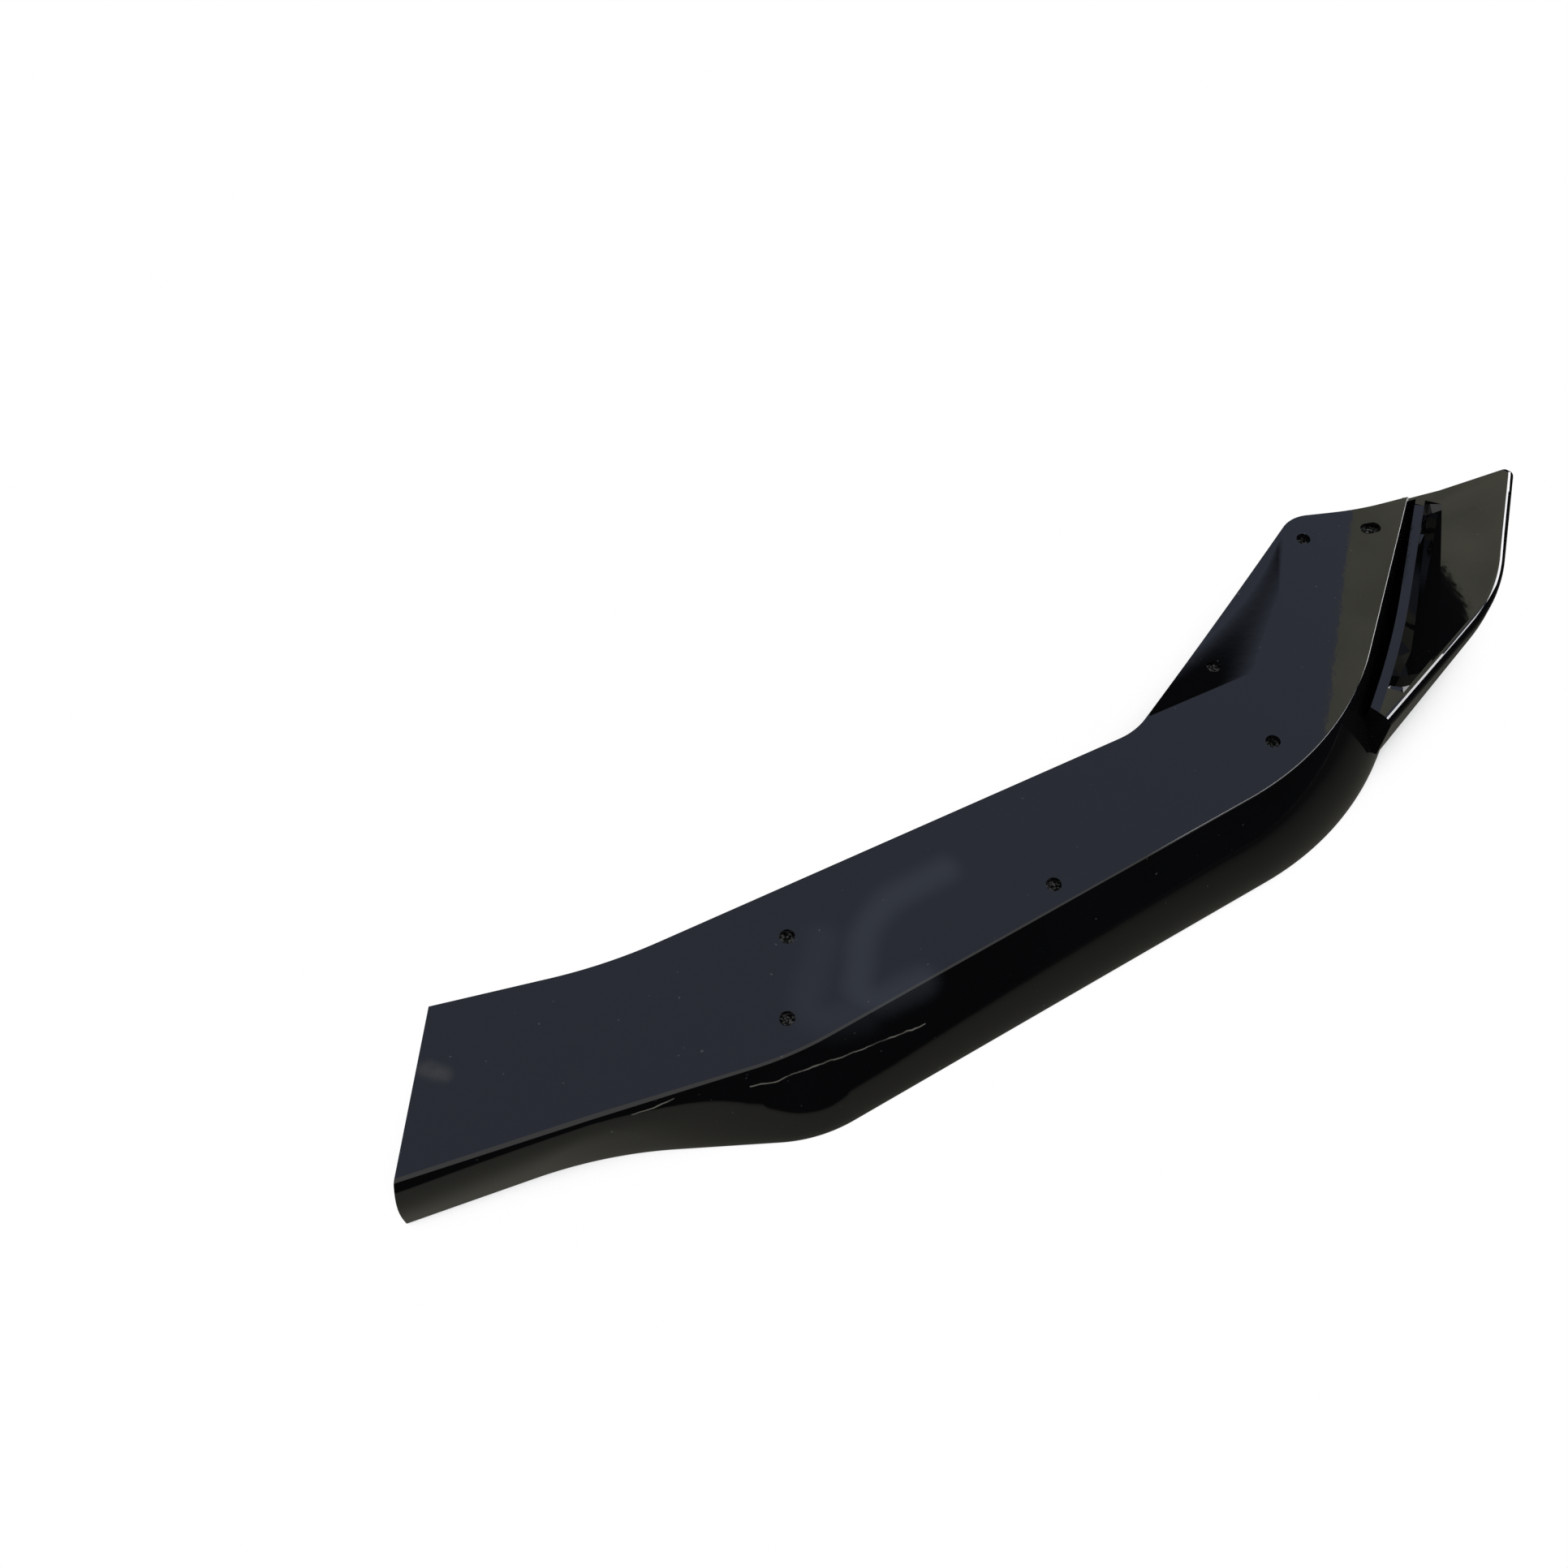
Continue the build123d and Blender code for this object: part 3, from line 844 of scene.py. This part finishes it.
class Shader:
    """A material's or the world's node tree, with one method that makes any node."""

    def __init__(self, tree: bpy.types.NodeTree) -> None:
        """Starts from an empty tree."""
        self.tree = tree
        tree.nodes.clear()

    def node(self, kind: str, settings: dict, inputs: dict, output: int | str = 0) -> Value:
        """Makes one node.

        Args:
            kind: The node's type, without the part that all types share.
            settings: Attributes that are set first.
            inputs: Values or links for its sockets, by index or name.
            output: The socket that is wanted.

        Returns:
            The wanted output, or an empty value for a node that ends the tree.
        """
        made = self.tree.nodes.new("ShaderNode" + kind)
        for name, setting in settings.items():
            setattr(made, name, setting)
        for key, value in inputs.items():
            if isinstance(value, Value):
                self.tree.links.new(value.socket, made.inputs[key])
            else:
                made.inputs[key].default_value = value
        return Value(self, made.outputs[output] if made.outputs else None)

    def place(self) -> Value:
        """Object coordinates of the piece."""
        return self.node("TexCoord", {}, {}, "Object")

    def noise(self, place: Value, scale: float, detail: float = 2.0, output: int | str = 0) -> Value:
        """Noise between 0 and 1 at a scale per metre."""
        return self.node("TexNoise", {}, {"Vector": place, "Scale": scale, "Detail": detail}, output)

    def vector(self, operation: str, first: object, second: object, output: int | str = 0) -> Value:
        """Adds one Vector Math node on two inputs."""
        return self.node("VectorMath", {"operation": operation}, {0: first, 1: second}, output)

    def scaled(self, vector: object, factor: object) -> Value:
        """Vector times a factor."""
        return self.node("VectorMath", {"operation": "SCALE"}, {0: vector, "Scale": factor})

    def wander(self, place: Value, scale: float, reach: float) -> Value:
        """Coordinates that stray by up to a reach."""
        stray = self.vector("SUBTRACT", self.noise(place, scale, output="Color"), (0.5, 0.5, 0.5))
        return self.vector("ADD", place, self.scaled(stray, 2 * reach))

    def line_distance(self, place: Value, points: Sequence[Vector]) -> Value:
        """Distance of coordinates from a line through points, in metres."""
        nearest = None
        for start, end in zip(points, points[1:]):
            run = end - start
            offset = self.vector("SUBTRACT", place, tuple(start))
            along = self.vector("DOT_PRODUCT", offset, tuple(run / run.length_squared), "Value")
            share = along.maximum(0.0).minimum(1.0)
            foot = self.scaled(tuple(run), share)
            gap = self.vector("DISTANCE", offset, foot, "Value")
            nearest = nearest.minimum(gap) if nearest else gap
        return nearest

    def near(self, place: Value, points: Sequence[Vector], edge: Pair) -> Value:
        """1 on a line through points, falling to 0 between the two distances of its soft edge."""
        return 1 - self.line_distance(place, points).step(*edge)

    def blend(self, share: Value, first: Value | tuple, second: tuple) -> Value:
        """Colour so far on the way from the first to the second."""
        start = first if isinstance(first, Value) else (*first, 1.0)
        return self.node("Mix", {"data_type": "RGBA"}, {0: share, 6: start, 7: (*second, 1.0)}, 2)

    def glow(self, colour: object) -> Value:
        """Surface that gives off a colour as it is."""
        return self.node("Emission", {}, {"Color": colour, "Strength": 1.0})

    def finish(self, surface: Value, output: str = "OutputMaterial") -> None:
        """Ends the tree with its surface."""
        self.node(output, {}, {"Surface": surface})


def new_material(name: str) -> tuple[Material, Shader]:
    """Makes an empty material, and the shader that fills it."""
    material = bpy.data.materials.new(name)
    material.use_nodes = True
    return material, Shader(material.node_tree)


def at_mm(*places: Triple) -> Places:
    """Points given in millimetres."""
    return tuple(Vector(place) * MM for place in places)


@dataclass(frozen=True)
class GlossPlastic:
    """Gloss black moulded plastic with light dust, a faint haze, a painted sheen streak (a painted
    reflection on the plate near the shoulder), thin painted reflection lines on the face and a rubbed spot.
    """

    black: Triple = (0.0028, 0.0028, 0.0031)
    # colour of the random haze and of the painted sheen, a painted reflection
    haze_and_sheen_colour: Triple = (0.022, 0.024, 0.028)
    dust: Triple = (0.16, 0.16, 0.15)
    # colour of the painted reflection lines on the face and of the rubbed spot
    line_and_rub_colour: Triple = (0.32, 0.30, 0.25)
    roughness: float = 0.028
    peel_scale: float = 240.0
    peel_height: float = 0.006 * MM
    wave_scale: float = 14.0
    wave_height: float = 0.04 * MM
    speck_scale: float = 380.0
    speck_range: Pair = (0.77, 0.82)
    speck_share: float = 0.3
    speck_rough: float = 0.2
    cloud_scale: float = 11.0
    cloud_range: Pair = (0.4, 0.9)
    cloud_share: float = 0.06
    index: float = 1.5
    # painted sheen: a painted reflection on the plate near the shoulder, drawn along the streak lines below
    sheen_range: Pair = (0.1, 0.5)
    sheen_share: float = 0.8
    sheen_rough: float = 0.08
    sheen_wander: Pair = (30.0, 2.0 * MM)
    inner_sheen: Places = at_mm((-40, -43, 38), (-76, -62, 37), (-82, -113, 37), (-52, -97, 38))
    inner_sheen_radii: Numbers = mm(40.0, 9.0)
    inner_sheen_edge: Pair = mm(0.5, 12.0)
    outer_sheen: Places = at_mm((-95, -76, 36), (-105, -116, 36), (-78, -112, 37))
    outer_sheen_radii: Numbers = mm(9.0)
    outer_sheen_edge: Pair = mm(0.5, 14.0)
    outer_sheen_share: float = 0.5
    # thin light lines on the face: painted reflection of a distant light strip
    long_reflection_line: Places = at_mm((-126, 0, 28.5), (-100, 0, 29), (-82, 0, 27.5), (-50, 0, 24.5))
    short_reflection_line: Places = at_mm((-175, 0, 29.5), (-166, 0, 29.5), (-158, 0, 31))
    reflection_line_edge: Pair = mm(0.05, 0.35)
    reflection_line_share: float = 0.6
    line_and_rub_rough: float = 0.3
    reflection_line_wander: Pair = (90.0, 1.5 * MM)
    break_scale: float = 120.0
    break_range: Pair = (0.15, 0.65)
    rubbed_spot: Places = at_mm((-264, -133, 28), (-256, -136, 29))
    rubbed_edge: Pair = mm(0.5, 6.0)
    rubbed_share: float = 0.10

    def material(self) -> Material:
        """Builds the finish."""
        material, shader = new_material("gloss_black_plastic")
        place = shader.place()
        cloud = shader.noise(place, self.cloud_scale, 4.0)
        specks = shader.noise(place, self.speck_scale, 1.0).step(*self.speck_range)
        # painted sheen: lighter streaks that paint a reflection on the plate, also a little rougher
        painted_sheen = self.painted_sheen_streaks(shader, place) * cloud.step(*self.sheen_range)
        # painted reflection lines on the face, plus the rubbed spot
        line_and_rub = self.reflection_lines_and_rub(shader, place)
        haze_and_sheen = (painted_sheen + cloud.step(*self.cloud_range) * self.cloud_share).minimum(1.0)
        with_haze_and_sheen = shader.blend(haze_and_sheen, self.black, self.haze_and_sheen_colour)
        dusty = shader.blend(specks * self.speck_share, with_haze_and_sheen, self.dust)
        colour = shader.blend(line_and_rub, dusty, self.line_and_rub_colour)
        base_and_sheen_rough = self.roughness + painted_sheen * self.sheen_rough
        rough = base_and_sheen_rough + specks * self.speck_rough + line_and_rub * self.line_and_rub_rough
        peel = shader.noise(place, self.peel_scale, 1.0) * self.peel_height
        wave = shader.noise(place, self.wave_scale, 0.0) * self.wave_height
        relief = {"Strength": 1.0, "Distance": 1.0, "Height": peel + wave}
        normal = shader.node("Bump", {}, relief, "Normal")
        inputs = {"Base Color": colour, "Roughness": rough, "Normal": normal, "IOR": self.index}
        shader.finish(shader.node("BsdfPrincipled", {}, inputs))
        return material

    def painted_sheen_streaks(self, shader: Shader, place: Value) -> Value:
        """Painted sheen: soft curved streaks of painted reflection on the plate near the shoulder, where
        the plate bends slightly.
        """
        loose = shader.wander(place, *self.sheen_wander)
        lines = []
        for corners, radii in (
            (self.inner_sheen, self.inner_sheen_radii),
            (self.outer_sheen, self.outer_sheen_radii),
        ):
            lines.append([point.place for point in rounded_line(corners, radii, arc_steps=5, run_steps=1)])
        inner = shader.near(loose, lines[0], self.inner_sheen_edge)
        outer = shader.near(loose, lines[1], self.outer_sheen_edge)
        return inner.maximum(outer * self.outer_sheen_share) * self.sheen_share

    def reflection_lines_and_rub(self, shader: Shader, place: Value) -> Value:
        """Thin light lines on the face, placed along and up it, that paint the reflection of a distant
        light strip and are a little rougher, and a rubbed spot at the inner end.
        """
        loose = shader.vector("MULTIPLY", shader.wander(place, *self.reflection_line_wander), (1.0, 0.0, 1.0))
        breaks = shader.noise(place, self.break_scale, 3.0).step(*self.break_range)
        long = shader.near(loose, self.long_reflection_line, self.reflection_line_edge)
        short = shader.near(loose, self.short_reflection_line, self.reflection_line_edge)
        spot = shader.near(place, self.rubbed_spot, self.rubbed_edge)
        return long.maximum(short) * breaks * self.reflection_line_share + spot * breaks * self.rubbed_share


@dataclass(frozen=True)
class Card:
    """Flat card of the studio, seen only in reflections: even, with a fade or with a mottle."""

    name: str
    corners: tuple[Triple, ...]
    colour: Triple
    fade_colour: Triple | None = None
    fade_middle: Triple | None = None
    fade_range: Pair = (0.0, 1.0)
    mottle: float = 0.0
    mottle_noise: Pair = (4.0, 6.0)
    mottle_range: Pair = (0.3, 0.7)

    def build(self) -> Body:
        """Makes the card through its corners."""
        form = bmesh.new()
        outline = chain(form, [Vector(corner) for corner in self.corners], closed=True)
        bmesh.ops.contextual_create(form, geom=outline)
        card = mesh_object(self.name, form)
        card.data.materials.append(self.material())
        card.visible_camera = False
        card.visible_diffuse = False
        card.visible_shadow = False
        return card

    def material(self) -> Material:
        """The card's glow."""
        material, shader = new_material(self.name)
        place = shader.place()
        colour: object = (*self.colour, 1.0)
        if self.fade_colour:
            if self.fade_middle:
                along = shader.vector("DISTANCE", place, self.fade_middle, "Value")
            else:
                along = shader.node("SeparateXYZ", {}, {0: place}, "Z")
            colour = shader.blend(along.step(*self.fade_range), self.colour, self.fade_colour)
        if self.mottle:
            share = shader.noise(place, *self.mottle_noise).step(*self.mottle_range)
            darker = tuple(channel * (1 - self.mottle) for channel in self.colour)
            colour = shader.blend(share, darker, self.colour)
        shader.finish(shader.glow(colour))
        return material


def upright(start: Pair, end: Pair, low: float, high: float) -> tuple:
    """Corners of an upright card between two plan points and two heights."""
    return ((*start, low), (*end, low), (*end, high), (*start, high))


def level(low: Pair, high: Pair, height: float) -> tuple:
    """Corners of a level card between two opposite plan corners, at a height."""
    return ((*low, height), (high[0], low[1], height), (*high, height), (low[0], high[1], height))


@dataclass
class Studio:
    """White floor and surroundings, cards for the reflections, and the camera."""

    floor_size: float = 12.0
    ceiling: float = 3.0
    blue_grey: Triple = (0.49, 0.56, 0.76)
    olive: Triple = (0.98, 0.96, 0.76)
    mat: Triple = (0.33, 0.32, 0.27)
    mat_dark: Triple = (0.02, 0.02, 0.018)
    black: Triple = (0.004, 0.005, 0.006)
    bright: Triple = (14.0, 14.0, 14.4)
    camera_place: Triple = (-0.1117, -0.3778, 0.6481)
    camera_pitch: float = 58.0
    lens: float = 35.404
    hole_places: Sequence[Vector] = ()
    # dark woven discs under the screw holes: painted shade under the plate
    shade_disc_drop: float = 5.0 * MM
    shade_disc_radius: float = 8.5 * MM
    weave_scale: float = 900.0
    weave_range: Pair = (0.45, 0.65)
    weave_and_shade_colours: tuple[tuple, tuple] = ((0.012, 0.012, 0.012), (0.22, 0.22, 0.21))
    shadow_reach: float = 0.3
    shadow_range: Pair = (0.25, 0.65)
    floor_colour: Numbers = (0.8, 0.8, 0.78, 1.0)
    room_colour: Numbers = (0.7, 0.72, 0.76, 1.0)
    white: Numbers = (1.0, 1.0, 1.0, 1.0)

    def build(self) -> None:
        """Sets up the whole studio."""
        self.floor()
        # dark discs of painted shade under the screw holes
        self.shade_discs()
        self.world()
        self.camera()
        for card in self.cards():
            card.build()

    def cards(self) -> list[Card]:
        """Cards whose reflections show in the gloss."""
        top = self.ceiling
        olive_corners = ((0.98, 1.58, top), (1.73, 4.2, top), (5.0, 4.2, top), (5.0, 1.58, top))
        overhead_corners = ((1.35, -0.05, 2.8), (3.2, 0.75, 2.4), (2.9, 1.15, 2.3), (1.25, 0.3, 2.8))
        strip_start = ((1.41, 1.5), (1.57, 1.5), (1.555, 2.2), (1.537, 2.31))
        strip_plan = (*strip_start, (1.547, 2.35), (1.51, 2.49), (1.41, 2.51))
        strip_height, ceiling_height = top - 0.01, top + 0.02
        strip_corners = tuple((*place, strip_height) for place in strip_plan)
        return [
            Card("ceiling_card", level((-4.0, 0.5), (5.0, 4.2), ceiling_height), self.blue_grey),
            Card("olive_card", olive_corners, self.olive, mottle=0.22),
            Card("dark_strip_card", strip_corners, self.black),
            Card(
                "rear_card",
                upright((-3.5, 2.6), (0.85, 2.6), 0.0, 3.0),
                self.black,
                fade_colour=self.blue_grey,
                fade_range=(2.65, 3.1),
            ),
            Card("front_card", upright((-4.0, -2.6), (3.6, -2.6), 0.0, 2.6), self.black),
            Card("right_card", upright((3.6, -2.6), (3.6, 4.3), 0.0, 2.3), self.black),
            Card("far_card", upright((0.6, 4.3), (3.6, 4.3), 0.0, 2.3), self.black),
            Card(
                "floor_card",
                level((-3.5, -2.6), (3.4, 2.6), 0.0004),
                self.mat,
                fade_colour=self.mat_dark,
                fade_middle=(-0.30, -0.35, 0.0),
                fade_range=(0.0, 0.95),
            ),
            Card("window_card", upright((3.2, 1.0), (2.3, 2.1), 0.8, 2.0), self.bright),
            Card("overhead_card", overhead_corners, self.bright),
        ]

    def floor(self) -> None:
        """White floor that darkens in the object's shadow."""
        form = bmesh.new()
        bmesh.ops.create_grid(form, x_segments=1, y_segments=1, size=self.floor_size / 2)
        floor = mesh_object("floor", form)
        material, shader = new_material("pale_floor")
        reach = {"Distance": self.shadow_reach}
        opening = shader.node("AmbientOcclusion", {"samples": 12}, reach, "AO")
        lit = self.seen_rays(shader) * opening.step(*self.shadow_range)
        matte = shader.node("BsdfDiffuse", {}, {"Color": self.floor_colour})
        shader.finish(shader.node("MixShader", {}, {0: lit, 1: matte, 2: shader.glow(self.white)}))
        floor.data.materials.append(material)

    def shade_discs(self) -> None:
        """Painted shade: dark discs with a woven pattern close under the screw holes, standing in for the
        shaded ground under the plate that shows through them.
        """
        form = bmesh.new()
        for place in self.hole_places:
            under = Matrix.Translation(place - up(self.shade_disc_drop))
            radius = self.shade_disc_radius
            bmesh.ops.create_circle(form, cap_ends=True, segments=24, radius=radius, matrix=under)
        shade_disc_object = mesh_object("hole_shade_discs", form)
        material, shader = new_material("woven_painted_shade")
        weave = shader.noise(shader.place(), self.weave_scale).step(*self.weave_range)
        # dark and pale weave colours of the painted shade discs
        colour = shader.blend(weave, *self.weave_and_shade_colours)
        shader.finish(shader.node("BsdfDiffuse", {}, {"Color": colour}))
        shade_disc_object.data.materials.append(material)

    def seen_rays(self, shader: Shader) -> Value:
        """1 for rays that look at the background: from the camera, off gloss or through glass."""
        names = ("Is Camera Ray", "Is Glossy Ray", "Is Transmission Ray")
        camera, glossy, through = (shader.node("LightPath", {}, {}, name) for name in names)
        return camera.maximum(glossy).maximum(through)

    def world(self) -> None:
        """Plain soft light, with a white background."""
        world = bpy.data.worlds.new("studio")
        world.use_nodes = True
        bpy.context.scene.world = world
        shader = Shader(world.node_tree)
        room, white = (
            shader.node("Background", {}, {"Color": colour, "Strength": 1.0})
            for colour in (self.room_colour, self.white)
        )
        surface = shader.node("MixShader", {}, {0: self.seen_rays(shader), 1: room, 2: white})
        shader.finish(surface, "OutputWorld")

    def camera(self) -> None:
        """Camera at the photograph's place and angle."""
        lens = bpy.data.cameras.new("camera")
        lens.lens = self.lens
        lens.sensor_width = 36.0
        lens.clip_end = 50.0
        camera = bpy.data.objects.new("camera", lens)
        camera.location = self.camera_place
        camera.rotation_euler = (math.radians(90 - self.camera_pitch), 0.0, 0.0)
        bpy.context.scene.collection.objects.link(camera)
        bpy.context.scene.camera = camera


def main() -> None:
    """Builds the moulding and the studio around it."""
    logging.basicConfig(level=logging.INFO)
    bpy.context.scene.view_settings.view_transform = "Standard"
    moulding = CornerLip()
    piece = moulding.build()
    piece.data.materials.clear()
    piece.data.materials.append(GlossPlastic().material())
    LOG.info("%s: %d faces", piece.name, len(piece.data.polygons))
    Studio(hole_places=moulding.hole_places()).build()


if __name__ == "__main__":
    main()
